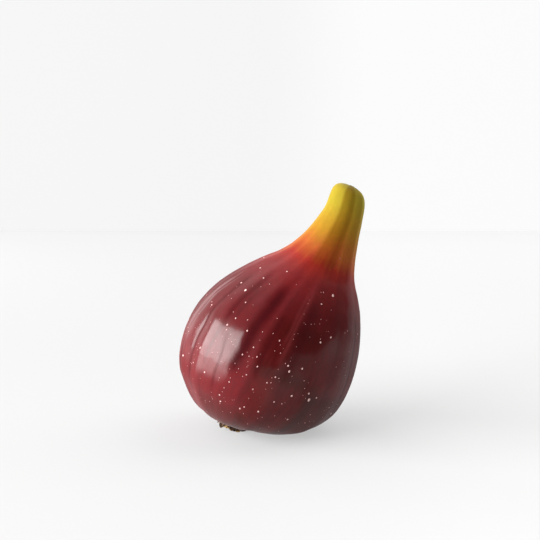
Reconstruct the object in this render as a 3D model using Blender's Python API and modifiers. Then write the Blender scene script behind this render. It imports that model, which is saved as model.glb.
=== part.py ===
"""A fresh fig as picked, resting on its blossom end with its neck leaning over.

Metres, +Z up. The fruit's own axis runs from the eye, low on the -X side, to the stem end, high on
the +X side. The origin lies on the resting surface, below the middle of the fruit's bounding box.
"""

import math

import bpy
import numpy as np
from mathutils import Vector

MM = 0.001

# Driving dimensions, measured along the fruit's own axis from its widest part or across it
EYE_DEPTH = 19.4 * MM
EYE_HOLLOW = 1.1 * MM
EYE_RIM_RADIUS = 5.2 * MM
BODY_RADIUS = 24.0 * MM
SHOULDER_HEIGHT = 27.9 * MM
SHOULDER_RADIUS = 11.8 * MM
SHOULDER_SLOPE = math.radians(41.0)
NECK_HEIGHT = 44.0 * MM
NECK_RADIUS = 5.6 * MM
NECK_SLOPE = math.radians(11.0)
TIP_HEIGHT = 52.6 * MM

# How far each stretch of the outline carries on straight before it turns
RIM_REACH = 2.4 * MM
BASE_REACH = 10.2 * MM
BELLY_REACH_DOWN = 13.2 * MM
BELLY_REACH_UP = 11.8 * MM
SHOULDER_REACH_DOWN = 9.1 * MM
SHOULDER_REACH_UP = 4.6 * MM
NECK_REACH_DOWN = 6.6 * MM
NECK_REACH_UP = 4.6 * MM
TIP_REACH = 5.6 * MM

# The neck bends away from the straight axis, then turns back a little at the tip
NECK_BEND = 3.0 * MM
NECK_BEND_START = 4.0 * MM
NECK_BEND_LENGTH = 36.0 * MM
TIP_HOOK = 1.6 * MM
TIP_HOOK_START = 43.0 * MM
TIP_HOOK_LENGTH = 12.0 * MM

# The base is drawn in on the side that the fruit leans over
BASE_TUCK = 0.07
BASE_TUCK_START = -5.0 * MM
BASE_TUCK_LENGTH = 12.0 * MM

# Low ribs run from the eye to the neck. Each set has a count round the fruit, a height and a start angle
RIB_SETS = ((9, 0.14 * MM, 0.6), (14, 0.12 * MM, 2.1), (3, 0.12 * MM, 1.2))

# How the fruit rests: its axis leans towards +X, and its weight presses a flat foot into the skin
LEAN = math.radians(24.0)
FOOT_DEPTH = 1.4 * MM
GROUND_THICKNESS = 10.0 * MM
GROUND_WIDTH = 4.0 * BODY_RADIUS

# Fineness of the mesh
STEPS_AROUND = 60
STEPS_PER_STRETCH = 9
MERGE_DISTANCE = 0.01 * MM
SHARP_ANGLE = math.radians(35.0)

SKIN_COLOUR = (0.13, 0.022, 0.028, 1.0)
SKIN_ROUGHNESS = 0.22


def clear_scene():
    """Remove what the scene holds at the start."""
    for thing in list(bpy.data.objects):
        bpy.data.objects.remove(thing)


def new_collection(name):
    """Make a collection in the scene."""
    collection = bpy.data.collections.new(name)
    bpy.context.scene.collection.children.link(collection)
    return collection


def fig_skin():
    """Glossy dark maroon skin."""
    material = bpy.data.materials.new("fig_skin")
    material.use_nodes = True
    shader = material.node_tree.nodes["Principled BSDF"]
    shader.inputs["Base Color"].default_value = SKIN_COLOUR
    shader.inputs["Roughness"].default_value = SKIN_ROUGHNESS
    shader.inputs["Metallic"].default_value = 0.0
    return material


def outline_knots():
    """Knots of the fruit's half outline, from the tip down to the eye.

    Each knot is a point as (distance from the axis, height), the unit direction in which the outline
    passes it, and how far the outline keeps to that direction before and after the point.
    """
    outwards = Vector((1.0, 0.0))
    downwards = Vector((0.0, -1.0))
    neck_way = Vector((math.sin(NECK_SLOPE), -math.cos(NECK_SLOPE)))
    shoulder_way = Vector((math.sin(SHOULDER_SLOPE), -math.cos(SHOULDER_SLOPE)))
    return (
        (Vector((0.0, TIP_HEIGHT)), outwards, TIP_REACH, TIP_REACH),
        (Vector((NECK_RADIUS, NECK_HEIGHT)), neck_way, NECK_REACH_UP, NECK_REACH_DOWN),
        (Vector((SHOULDER_RADIUS, SHOULDER_HEIGHT)), shoulder_way, SHOULDER_REACH_UP, SHOULDER_REACH_DOWN),
        (Vector((BODY_RADIUS, 0.0)), downwards, BELLY_REACH_UP, BELLY_REACH_DOWN),
        (Vector((EYE_RIM_RADIUS, -EYE_DEPTH)), -outwards, BASE_REACH, RIM_REACH),
        (Vector((0.0, EYE_HOLLOW - EYE_DEPTH)), -outwards, RIM_REACH, RIM_REACH),
    )


def outline_curve():
    """The fruit's half outline as a curve object at +X of the axis, running down its outer side."""
    curve = bpy.data.curves.new("fig_outline", "CURVE")
    curve.dimensions = "3D"
    curve.resolution_u = STEPS_PER_STRETCH
    spline = curve.splines.new("BEZIER")
    knots = outline_knots()
    spline.bezier_points.add(len(knots) - 1)
    for knot, (point, way, reach_before, reach_after) in zip(spline.bezier_points, knots):
        before = point - way * reach_before
        after = point + way * reach_after
        knot.handle_left_type = "FREE"
        knot.handle_right_type = "FREE"
        knot.co = (point.x, 0.0, point.y)
        knot.handle_left = (before.x, 0.0, before.y)
        knot.handle_right = (after.x, 0.0, after.y)
    outline = bpy.data.objects.new("fig_outline", curve)
    bpy.context.scene.collection.objects.link(outline)
    return outline


def turned_fruit():
    """Turn the half outline about the fruit's axis and give the closed mesh."""
    outline = outline_curve()
    turn = outline.modifiers.new("turn", "SCREW")
    turn.axis = "Z"
    turn.angle = math.tau
    turn.steps = STEPS_AROUND
    turn.render_steps = STEPS_AROUND
    turn.use_merge_vertices = True
    turn.merge_threshold = MERGE_DISTANCE
    graph = bpy.context.evaluated_depsgraph_get()
    mesh = bpy.data.meshes.new_from_object(outline.evaluated_get(graph))
    bpy.data.objects.remove(outline)
    return mesh


def smooth_rise(value):
    """Rise from 0 to 1 with level ends as the value goes from 0 to 1."""
    held = np.clip(value, 0.0, 1.0)
    return held * held * (3.0 - 2.0 * held)


def grow_ribs_and_neck(mesh):
    """Raise the ribs on the turned mesh, fading towards both ends, tuck its base in and bend its neck."""
    points = np.empty(len(mesh.vertices) * 3)
    mesh.vertices.foreach_get("co", points)
    points = points.reshape(-1, 3)
    height = points[:, 2]
    radius = np.hypot(points[:, 0], points[:, 1])
    angle = np.arctan2(points[:, 1], points[:, 0])
    fullness = (radius / BODY_RADIUS) * smooth_rise(radius / (2.0 * EYE_RIM_RADIUS))
    rise = sum(size * np.cos(count * angle + start) for count, size, start in RIB_SETS)
    swell = 1.0 + fullness * rise / np.maximum(radius, EYE_RIM_RADIUS)
    points[:, 0] *= swell
    points[:, 1] *= swell
    tuck = BASE_TUCK * smooth_rise((BASE_TUCK_START - height) / BASE_TUCK_LENGTH)
    points[:, 0] -= tuck * np.maximum(points[:, 0], 0.0)
    points[:, 0] += NECK_BEND * smooth_rise((height - NECK_BEND_START) / NECK_BEND_LENGTH)
    points[:, 0] -= TIP_HOOK * smooth_rise((height - TIP_HOOK_START) / TIP_HOOK_LENGTH)
    mesh.vertices.foreach_set("co", points.ravel())
    mesh.update()


def make_ground(cutters):
    """A block whose top is the surface that the fruit rests on."""
    bpy.ops.mesh.primitive_cube_add(size=1.0)
    ground = bpy.context.object
    ground.name = "ground_cutter"
    ground.scale = (GROUND_WIDTH, GROUND_WIDTH, GROUND_THICKNESS)
    ground.location = (0.0, 0.0, -GROUND_THICKNESS / 2.0)
    ground.hide_render = True
    ground.display_type = "WIRE"
    for collection in list(ground.users_collection):
        collection.objects.unlink(ground)
    cutters.objects.link(ground)
    return ground


def make_fruit(parts, ground):
    """Lean the fruit, centre it over the origin and flatten it where it bears on the ground."""
    mesh = turned_fruit()
    mesh.name = "fig_fruit"
    grow_ribs_and_neck(mesh)
    mesh.shade_smooth()
    mesh.set_sharp_from_angle(angle=SHARP_ANGLE)
    mesh.materials.clear()
    mesh.materials.append(fig_skin())
    fruit = bpy.data.objects.new("fig_fruit", mesh)
    parts.objects.link(fruit)

    fruit.rotation_euler = (0.0, LEAN, 0.0)
    bpy.context.view_layer.update()
    leaned = np.array([fruit.matrix_world @ vertex.co for vertex in mesh.vertices])
    lowest = leaned.min(axis=0)
    middle = (lowest + leaned.max(axis=0)) / 2.0
    fruit.location = (-middle[0], -middle[1], -lowest[2] - FOOT_DEPTH)

    press = fruit.modifiers.new("pressed_foot", "BOOLEAN")
    press.operation = "DIFFERENCE"
    press.solver = "EXACT"
    press.object = ground


def main():
    clear_scene()
    parts = new_collection("fresh_fig")
    cutters = new_collection("cutters")
    make_fruit(parts, make_ground(cutters))


main()
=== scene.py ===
"""Looks of a fresh fig at rest on its eye end: skin, pores, eye scales, stem scar and a plain stage.

Laid out as an add-on and run as a script. Every surface is a function of two parameters worked out with
numpy, in metres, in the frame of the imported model.
"""

import math

import bpy
import numpy as np
from bpy.props import FloatProperty, FloatVectorProperty, IntProperty, PointerProperty
from mathutils import Matrix, Vector


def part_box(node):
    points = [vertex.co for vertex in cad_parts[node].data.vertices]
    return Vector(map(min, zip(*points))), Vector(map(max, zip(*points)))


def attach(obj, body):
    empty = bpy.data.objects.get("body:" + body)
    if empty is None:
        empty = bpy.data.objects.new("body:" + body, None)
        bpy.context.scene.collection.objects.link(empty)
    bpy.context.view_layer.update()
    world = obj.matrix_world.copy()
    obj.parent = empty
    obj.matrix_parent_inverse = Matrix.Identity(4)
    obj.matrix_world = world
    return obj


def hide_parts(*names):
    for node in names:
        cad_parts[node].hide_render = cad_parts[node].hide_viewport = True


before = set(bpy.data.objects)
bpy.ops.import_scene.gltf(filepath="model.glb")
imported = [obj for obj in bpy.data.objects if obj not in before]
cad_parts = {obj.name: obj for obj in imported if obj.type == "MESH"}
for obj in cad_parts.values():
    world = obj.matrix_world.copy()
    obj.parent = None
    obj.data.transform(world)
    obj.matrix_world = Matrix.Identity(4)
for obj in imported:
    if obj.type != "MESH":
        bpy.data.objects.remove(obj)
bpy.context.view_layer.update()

bl_info = {
    "name": "Fresh fig",
    "version": (1, 0, 0),
    "blender": (4, 5, 0),
    "location": "3D View > Sidebar > Fig",
    "description": "Builds the looks of a whole fresh fig and a plain stage for it",
    "category": "Add Mesh",
}

MM = 0.001
FRUIT_NODE = "fig_fruit"
FRUIT_LOW, FRUIT_HIGH = (np.array(corner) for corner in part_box(FRUIT_NODE))


# Settings that a user would change


def length(name, default, description):
    return FloatProperty(name=name, description=description, default=default, unit="LENGTH", precision=5)


def turn(name, degrees, description):
    return FloatProperty(name=name, description=description, default=math.radians(degrees), subtype="ANGLE")


def share(name, default, description):
    return FloatProperty(
        name=name, description=description, default=default, min=0.0, max=1.0, subtype="FACTOR"
    )


def colour(name, default, description):
    return FloatVectorProperty(
        name=name, description=description, default=default, min=0.0, max=1.0, size=3, subtype="COLOR"
    )


def count(name, default, description):
    return IntProperty(name=name, description=description, default=default, min=0)


class FigShape(bpy.types.PropertyGroup):
    """Sizes of the fruit, along its own axis from its widest part and across it."""

    eye_depth: length("Eye depth", 19.4 * MM, "From the widest part down to the rim of the eye")
    eye_hollow: length("Eye hollow", 1.1 * MM, "How far the eye lies inside its rim")
    eye_rim: length("Eye rim radius", 5.2 * MM, "Radius of the rim round the eye")
    body: length("Body radius", 24.0 * MM, "Radius at the widest part")
    shoulder_height: length("Shoulder height", 27.9 * MM, "From the widest part up to the shoulder")
    shoulder: length("Shoulder radius", 11.8 * MM, "Radius where the body turns into the neck")
    neck_height: length("Neck height", 44.0 * MM, "From the widest part up to the slim part of the neck")
    neck: length("Neck radius", 5.6 * MM, "Radius of the slim part of the neck")
    tip_height: length("Tip height", 52.6 * MM, "From the widest part up to the stem end")
    lean: turn("Lean", 24.0, "How far the fruit's axis leans towards +X")


class FigSkin(bpy.types.PropertyGroup):
    """Colours of the skin from the stem end down, and its gloss."""

    tip: colour("Tip", (0.227, 0.172, 0.015), "Yellow-green of the stem end")
    golden: colour("Golden", (0.243, 0.118, 0.011), "Golden yellow of the upper neck")
    orange: colour("Orange", (0.25, 0.062, 0.014), "Orange of the lower neck")
    red: colour("Red", (0.18, 0.014, 0.009), "Red at the foot of the neck")
    crimson: colour("Crimson", (0.115, 0.006, 0.007), "Crimson of the shoulder")
    maroon: colour("Maroon", (0.070, 0.003, 0.004), "Maroon of the body")
    base: colour("Base", (0.098, 0.005, 0.007), "Warmer maroon low on the body")
    # Painted shade: this colour darkens the streaks and lays painted shade in the grooves
    groove: colour("Groove", (0.034, 0.002, 0.003), "Near-black maroon in the grooves between ribs")
    # Painted highlight: this colour lays a painted highlight along the ridges
    ridge: colour("Ridge", (0.20, 0.030, 0.034), "Paler crimson along the ridges")
    eye: colour("Eye", (0.030, 0.015, 0.007), "Dry brown round the eye")
    roughness: share("Roughness", 0.45, "Roughness of the skin under its wax")
    wax: share("Wax", 0.40, "Strength of the waxy gloss")
    wax_roughness: share("Wax roughness", 0.16, "Roughness of the waxy gloss")
    sheen: share("Sheen", 0.10, "Strength of the faint bloom that pales the edges")


class FigPores(bpy.types.PropertyGroup):
    """Pale pores that dot the skin."""

    number: count("Pores", 420, "How many pores are scattered over the fruit")
    large: length("Large pore", 0.30 * MM, "Radius of the larger pores")
    small: length("Small pore", 0.09 * MM, "Radius of the smaller pores")
    pale: colour("Pale", (0.80, 0.62, 0.57), "Colour of the pores")
    edge: colour("Edge", (0.28, 0.09, 0.09), "Colour round their edges")


class FigEye(bpy.types.PropertyGroup):
    """Dry scales that close the eye."""

    scale_length: length("Scale length", 2.5 * MM, "Length of the outer scales")
    scale_width: length("Scale width", 1.05 * MM, "Half width of the outer scales")
    thickness: length("Scale thickness", 0.10 * MM, "Half thickness of a scale")
    dark: colour("Dark", (0.022, 0.010, 0.005), "Dark brown of the dry scales")
    tan: colour("Tan", (0.40, 0.25, 0.10), "Tan of their frayed tips")


class FigScar(bpy.types.PropertyGroup):
    """Scar where the stem was picked."""

    radius: length("Scar radius", 2.1 * MM, "Radius of the scar")
    cut: length("Cut depth", 0.34 * MM, "How far the stem end is cut back")
    tilt: turn("Tilt", 15.0, "How far the scar faces away from the front")
    turned: turn("Turned", 13.0, "How far the scar faces to the right")
    rim: colour("Rim", (0.20, 0.17, 0.09), "Grey-brown of the dried rim")
    pith: colour("Pith", (0.42, 0.37, 0.20), "Pale tan of the dried middle")


class FigStage(bpy.types.PropertyGroup):
    """Camera, floor, backdrop and light."""

    elevation: turn("Camera elevation", 12.0, "Camera angle above the horizon")
    lens: FloatProperty(name="Lens", description="Focal length", default=90.0, unit="CAMERA")
    distance: length("Camera distance", 0.371, "From the camera to the middle of the fruit")
    window: FloatProperty(name="Window", description="Radiance of the window", default=15.0)
    floor: colour("Floor", (0.22, 0.22, 0.22), "Colour of the floor")
    floor_glow: FloatProperty(name="Floor glow", description="Even glow of the floor", default=0.45)
    wall_glow: FloatProperty(name="Wall glow", description="Even glow of the backdrop", default=0.64)


# Shape of the fruit

# How far the outline keeps to its heading before and after each knot, from the eye to the tip
EYE_REACH, TIP_REACH = 2.4 * MM, 6.2 * MM
RIM_REACH = (EYE_REACH, 10.2 * MM)
BELLY_REACH = (13.2 * MM, 11.8 * MM)
SHOULDER_REACH = (9.1 * MM, 4.6 * MM)
NECK_REACH = (6.6 * MM, 4.6 * MM)
SHOULDER_SLOPE, NECK_SLOPE = math.radians(41.0), math.radians(11.0)

# What sets in by height, each with its size, the height where it starts and the length over which it grows.
# The neck bends away from the straight axis and turns back a little at the tip. The base is drawn in on the
# side that the fruit leans over, and lower down on the eye's side. The fruit's weight turns it a little
# towards the surface, with a slope that levels off over a width from a middle
NECK_BEND = (3.0 * MM, 4.0 * MM, 36.0 * MM)
TIP_HOOK = (1.6 * MM, 43.0 * MM, 12.0 * MM)
BASE_TUCK = (0.07, -5.0 * MM, 12.0 * MM)
EYE_TUCK = (0.08, -11.0 * MM, 6.5 * MM)
BASE_TILT = (math.tan(math.radians(8.5)), -12.0 * MM, 6.0 * MM)
TILT_WIDTH, TILT_MIDDLE = 10.0 * MM, 7.0 * MM

# The base is drawn up a little at the front and back, and more on the side that the fruit leans over
BASE_LIFT, BASE_LIFT_LEAN, BASE_LIFT_DEPTH = 0.8 * MM, 0.8, 7.0 * MM

# The skin is dry and brown up to this many rim radii from the middle of the eye, and over a short fade
EYE_EDGE = 1.25
EYE_FADE = 1.5 * MM

# Low broad ribs, each set with its count round the fruit, height and start angle. The relief fades in from
# the eye over so many rim radii
BROAD_RIBS = ((9, 0.14 * MM, 0.6), (14, 0.12 * MM, 2.1), (3, 0.12 * MM, 1.2))
RELIEF_FADE = 2.0

# Unevenness: the height, wavelength and seed of each set of waves, their number and the spread of their
# lengths
UNEVENNESS = ((0.045 * MM, 13.0 * MM, 3), (0.018 * MM, 4.0 * MM, 4))
WAVES = 26
WAVE_SPREAD = (0.6, 1.4)

# Lines along the side that faces the camera, each with its angle round the fruit's axis at its low and
# high end in degrees (-90 faces the camera and 180 faces left), the shares of the fruit's height that it
# runs between, its half width and depth in millimetres (a ridge has a depth below 0), and the painted shade
# that it lays in its crease (a line that lays a painted highlight on its ridge has a value below 0)
FRONT_LINES = (
    (-170.0, -171.0, 0.07, 0.22, 0.60, 0.050, 0.90),
    (-161.0, -162.0, 0.06, 0.19, 0.60, 0.050, 0.90),
    (-98.0, -98.0, 0.00, 0.58, 3.00, -0.200, 0.00),
    (-98.0, -97.0, 0.64, 0.94, 1.50, -0.120, 0.00),
    (-145.0, -145.5, 0.20, 0.32, 1.80, 0.110, 0.20),
    (-146.5, -149.0, 0.15, 0.52, 0.80, 0.040, 0.70),
    (-121.0, -124.0, 0.17, 0.32, 0.60, 0.035, 0.55),
    (-133.0, -134.0, 0.42, 0.58, 1.20, 0.050, 0.85),
    (-111.5, -110.5, 0.28, 0.55, 1.75, 0.070, 1.30),
    (-103.5, -102.5, 0.31, 0.60, 1.00, -0.040, -0.25),
    (-97.5, -98.0, 0.28, 0.46, 1.30, 0.050, 0.85),
    (-93.0, -93.0, 0.30, 0.42, 0.45, 0.035, 0.45),
    (-90.0, -91.0, 0.31, 0.43, 0.50, 0.035, 0.50),
    (-89.0, -89.0, 0.44, 0.58, 0.45, -0.020, -0.35),
    (-86.3, -86.0, 0.38, 0.59, 0.60, -0.025, -0.45),
    (-79.0, -80.0, 0.31, 0.54, 1.90, 0.015, 0.75),
    (-63.0, -63.0, 0.24, 0.31, 0.80, 0.050, 0.45),
    (-48.0, -49.0, 0.25, 0.50, 0.90, 0.040, 0.25),
    (-30.0, -31.0, 0.20, 0.52, 0.70, 0.050, 0.35),
)
FRONT_FROM = math.radians(-155.0)
FRONT_TO = math.radians(-25.0)

# A line fades at its ends over a share of the fruit's height. Its banks are so many times as wide as it and
# so high for its depth. It waves by a small angle, at a rate up the fruit and with a step from line to line
LINE_FADE = 0.07
BANK_WIDTH, BANK_HEIGHT = 2.5, 0.3
WAVE_ANGLE, WAVE_RATE, WAVE_STEP = 0.008, 38.0, 1.7

# Lines round the rest of the fruit: their number and seed, and the values that their places in a step round
# it, ends, half widths, depths, painted shade and twist are drawn from. The widest are deeper, and some are
# ridges that carry painted highlight in place of shade
SCATTERED_LINES, LINE_SEED, LINE_PLACES = 34, 11, (0.1, 0.9)
LOW_ENDS, HIGH_ENDS = (0.14, 0.34), (0.44, 0.60)
LINE_WIDTHS, WIDE_FROM = (0.35, 0.5, 1.1, 1.6), 1.5
LINE_DEPTHS, WIDE_DEEPER = (0.03, 0.06), 0.05
LINE_TONES, LINE_TWIST = (0.3, 0.9), (-2.0, 2.0)
RIDGE_EVERY, RIDGE_DEPTH, RIDGE_TONE = 4, -0.6, -0.7

# Sides painted darker, each with the angles in degrees and the shares of the fruit's height that it runs
# between, and its strength. On the front and right, away from the window, and low near the foot this is
# painted shade; on the back the skin is simply darker. A side painted lighter, as painted light on the right
# of the neck, has a strength below 0. They fade over an edge in degrees and a share of the height, and take
# away so much of the red, green and blue
DEEP_SIDES = (
    (-128.0, -96.0, 0.00, 0.07, 1.2),
    (-93.0, -60.0, 0.00, 0.28, 1.3),
    (-54.0, -10.0, 0.00, 0.24, 1.9),
    (-97.0, -68.0, 0.31, 0.46, 1.2),
    (-93.0, -54.0, 0.46, 0.62, 0.4),
    (-103.0, -76.0, 0.72, 1.00, 1.2),
    (-26.0, 5.0, 0.72, 1.00, -1.5),
    (20.0, 60.0, 0.00, 0.62, 0.8),
    (50.0, 85.0, 0.70, 1.00, 0.7),
    (112.0, 150.0, 0.00, 0.62, 0.7),
)
DEEP_EDGE = 12.0
SIDE_FADE = 0.06
DEEP_LOSS = (0.24, 0.33, 0.45)

# Sides where the colour bands sit higher, so that the skin there is redder, in the same terms. Their
# strength is a share of the fruit's height
RIPE_SIDES = ((-150.0, -30.0, 0.50, 1.10, 0.035), (-70.0, -10.0, 0.80, 1.10, 0.025))
RIPE_EDGE = 26.0

ROWS = 184
COLUMNS = 516
OUTLINE_STEPS = 240
TINY = 1e-12

# How softly the foot is pressed flat and the stem end is cut, the share of the height that the cut keeps
# to, and how far the stem end is raised before it, as a share of the cut
FOOT_SOFTNESS = 0.45 * MM
CUT_SOFTNESS = 0.35 * MM
CUT_FROM = 0.9
TIP_RISE = 0.7


def smooth_rise(value):
    """Rise from 0 to 1 with level ends: s^2 (3 - 2 s), with s the value held between 0 and 1."""
    held = np.clip(value, 0.0, 1.0)
    return held * held * (3.0 - 2.0 * held)


def reach(value, low, high, edge):
    """1 between low and high, and a smooth fall to 0 over the edge outside them."""
    return smooth_rise((value - low) / edge + 1.0) * smooth_rise((high - value) / edge + 1.0)


def evenly(curve, number):
    """The two coordinates of points spread evenly by length along a curve."""
    travelled = np.concatenate(([0.0], np.cumsum(np.hypot(*np.diff(curve, axis=0).T))))
    even = np.linspace(0.0, travelled[-1], number)
    return np.interp(even, travelled, curve[:, 0]), np.interp(even, travelled, curve[:, 1])


def outline(shape, rows):
    """Half outline of the fruit from the eye to the tip, as distance from the axis and height.

    Between knots P and Q with arms A and B along their headings, the point at share s is
    (1-s)^3 P + 3 (1-s)^2 s A + 3 (1-s) s^2 B + s^3 Q. The rows are then spread evenly by length.
    """
    out = np.array((1.0, 0.0))
    up = np.array((0.0, 1.0))
    shoulder_way = np.array((-math.sin(SHOULDER_SLOPE), math.cos(SHOULDER_SLOPE)))
    neck_way = np.array((-math.sin(NECK_SLOPE), math.cos(NECK_SLOPE)))
    knots = (
        ((0.0, shape.eye_hollow - shape.eye_depth), out, (0.0, EYE_REACH)),
        ((shape.eye_rim, -shape.eye_depth), out, RIM_REACH),
        ((shape.body, 0.0), up, BELLY_REACH),
        ((shape.shoulder, shape.shoulder_height), shoulder_way, SHOULDER_REACH),
        ((shape.neck, shape.neck_height), neck_way, NECK_REACH),
        ((0.0, shape.tip_height), -out, (TIP_REACH, 0.0)),
    )
    s = np.linspace(0.0, 1.0, OUTLINE_STEPS)[:, None]
    stretches = []
    for (start, start_way, (_, reach_out)), (end, end_way, (reach_in, _)) in zip(knots, knots[1:]):
        start, end = np.array(start), np.array(end)
        arm_out, arm_in = start + start_way * reach_out, end - end_way * reach_in
        stretches.append(
            (1 - s) ** 3 * start + 3 * (1 - s) ** 2 * s * arm_out + 3 * (1 - s) * s**2 * arm_in + s**3 * end
        )
    return evenly(np.concatenate(stretches), rows)


def lumps(places, wavelength, seed):
    """Smooth unevenness from about -1 to 1: the mean of seeded plane waves sin(k . p + phase), scaled."""
    random = np.random.default_rng(seed)
    ways = random.normal(size=(WAVES, 3))
    lengths = wavelength / random.uniform(*WAVE_SPREAD, (WAVES, 1))
    ways *= math.tau / lengths / np.linalg.norm(ways, axis=1, keepdims=True)
    phases = random.uniform(0.0, math.tau, WAVES)
    return sum(np.sin(places @ way + phase) for way, phase in zip(ways, phases)) / math.sqrt(WAVES)


def all_lines():
    """The lines of the front, and seeded ones of like kinds round the rest of the fruit."""
    random = np.random.default_rng(LINE_SEED)
    lines = list(FRONT_LINES)
    for number in range(SCATTERED_LINES):
        step = (number + random.uniform(*LINE_PLACES)) / SCATTERED_LINES
        angle = math.degrees(FRONT_TO + (math.tau + FRONT_FROM - FRONT_TO) * step)
        low, high = random.uniform(*LOW_ENDS), random.uniform(*HIGH_ENDS)
        wide = random.choice(LINE_WIDTHS)
        deep = random.uniform(*LINE_DEPTHS) + WIDE_DEEPER * (wide > WIDE_FROM)
        tone = random.uniform(*LINE_TONES)
        if number % RIDGE_EVERY == RIDGE_EVERY - 1:
            deep, tone = RIDGE_DEPTH * deep, RIDGE_TONE * tone
        lines.append((angle, angle + random.uniform(*LINE_TWIST), low, high, wide, deep, tone))
    return lines


def relief(radius, part, angle, shape):
    """Height of the skin's relief, and the painted shade that the lines lay in the grooves and the painted
    highlight that they lay on the ridges.

    Broad ribs are cosines round the axis. A line is -depth exp(-(a/w)^2) + 0.3 depth exp(-(a/2.5w)^2),
    with a the distance round the fruit from its middle and w its half width. All fades near both ends.
    """
    fullness = (radius / shape.body) * smooth_rise(radius / (RELIEF_FADE * shape.eye_rim))
    raised = fullness * sum(size * np.cos(number * angle + start) for number, size, start in BROAD_RIBS)
    dark = np.zeros_like(raised)
    pale = np.zeros_like(raised)
    for number, (angle_low, angle_high, low, high, wide, deep, tone) in enumerate(all_lines()):
        along = np.clip((part - low) / (high - low), 0.0, 1.0)
        middle = np.radians(angle_low + (angle_high - angle_low) * along)
        middle = middle + WAVE_ANGLE * np.sin(part * WAVE_RATE + WAVE_STEP * number)
        away = (np.mod(angle - middle + math.pi, math.tau) - math.pi) * radius / MM
        length_share = reach(part, low, high, LINE_FADE)
        cut = np.exp(-((away / wide) ** 2)) * length_share
        bank = np.exp(-((away / (BANK_WIDTH * wide)) ** 2)) * length_share
        raised += deep * MM * (BANK_HEIGHT * bank - cut)
        # dark is the painted shade laid in the grooves, pale the painted highlight laid on the ridges
        dark = np.maximum(dark, tone * cut)
        pale = np.maximum(pale, -tone * cut)
    return raised, dark, pale


def sides(table, edge, angle, part):
    """Sum of the strengths of the sides in a table, each smooth at its edges."""
    degrees = np.degrees(np.mod(angle + math.pi, math.tau) - math.pi)
    return sum(
        strength * reach(degrees, start, end, edge) * reach(part, low, high, SIDE_FADE)
        for start, end, low, high, strength in table
    )


def above(height, size, start, length):
    """A size that grows in above a height."""
    return size * smooth_rise((height - start) / length)


def below(height, size, start, length):
    """A size that grows in below a height."""
    return size * smooth_rise((start - height) / length)


def base_lift(angle):
    """How far the base is drawn up at angle a: lift sin^2 a (1 + lean cos a)."""
    return BASE_LIFT * np.sin(angle) ** 2 * (1.0 + BASE_LIFT_LEAN * np.cos(angle))


def tilt_base(own):
    """Turn the base, faded in low down: z + w tan(tilt) tanh((x - m) / w), with width w and middle m."""
    turned = own.copy()
    across = np.tanh((own[..., 0] - TILT_MIDDLE) / TILT_WIDTH)
    turned[..., 2] += below(own[..., 2], *BASE_TILT) * TILT_WIDTH * across
    return turned


def flatten(points, origin, outward, softness):
    """Press flat what passes a plane: depth z inside it becomes (z+s)^2 / 4s where |z| < s, and 0 beyond."""
    z = (origin - points) @ outward
    soft = np.where(np.abs(z) < softness, (z + softness) ** 2 / (4.0 * softness), np.maximum(z, 0.0))
    return points - (soft - z)[..., None] * outward


def unit(ways):
    """Ways of length 1."""
    return ways / np.maximum(np.linalg.norm(ways, axis=-1, keepdims=True), TINY)


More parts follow.
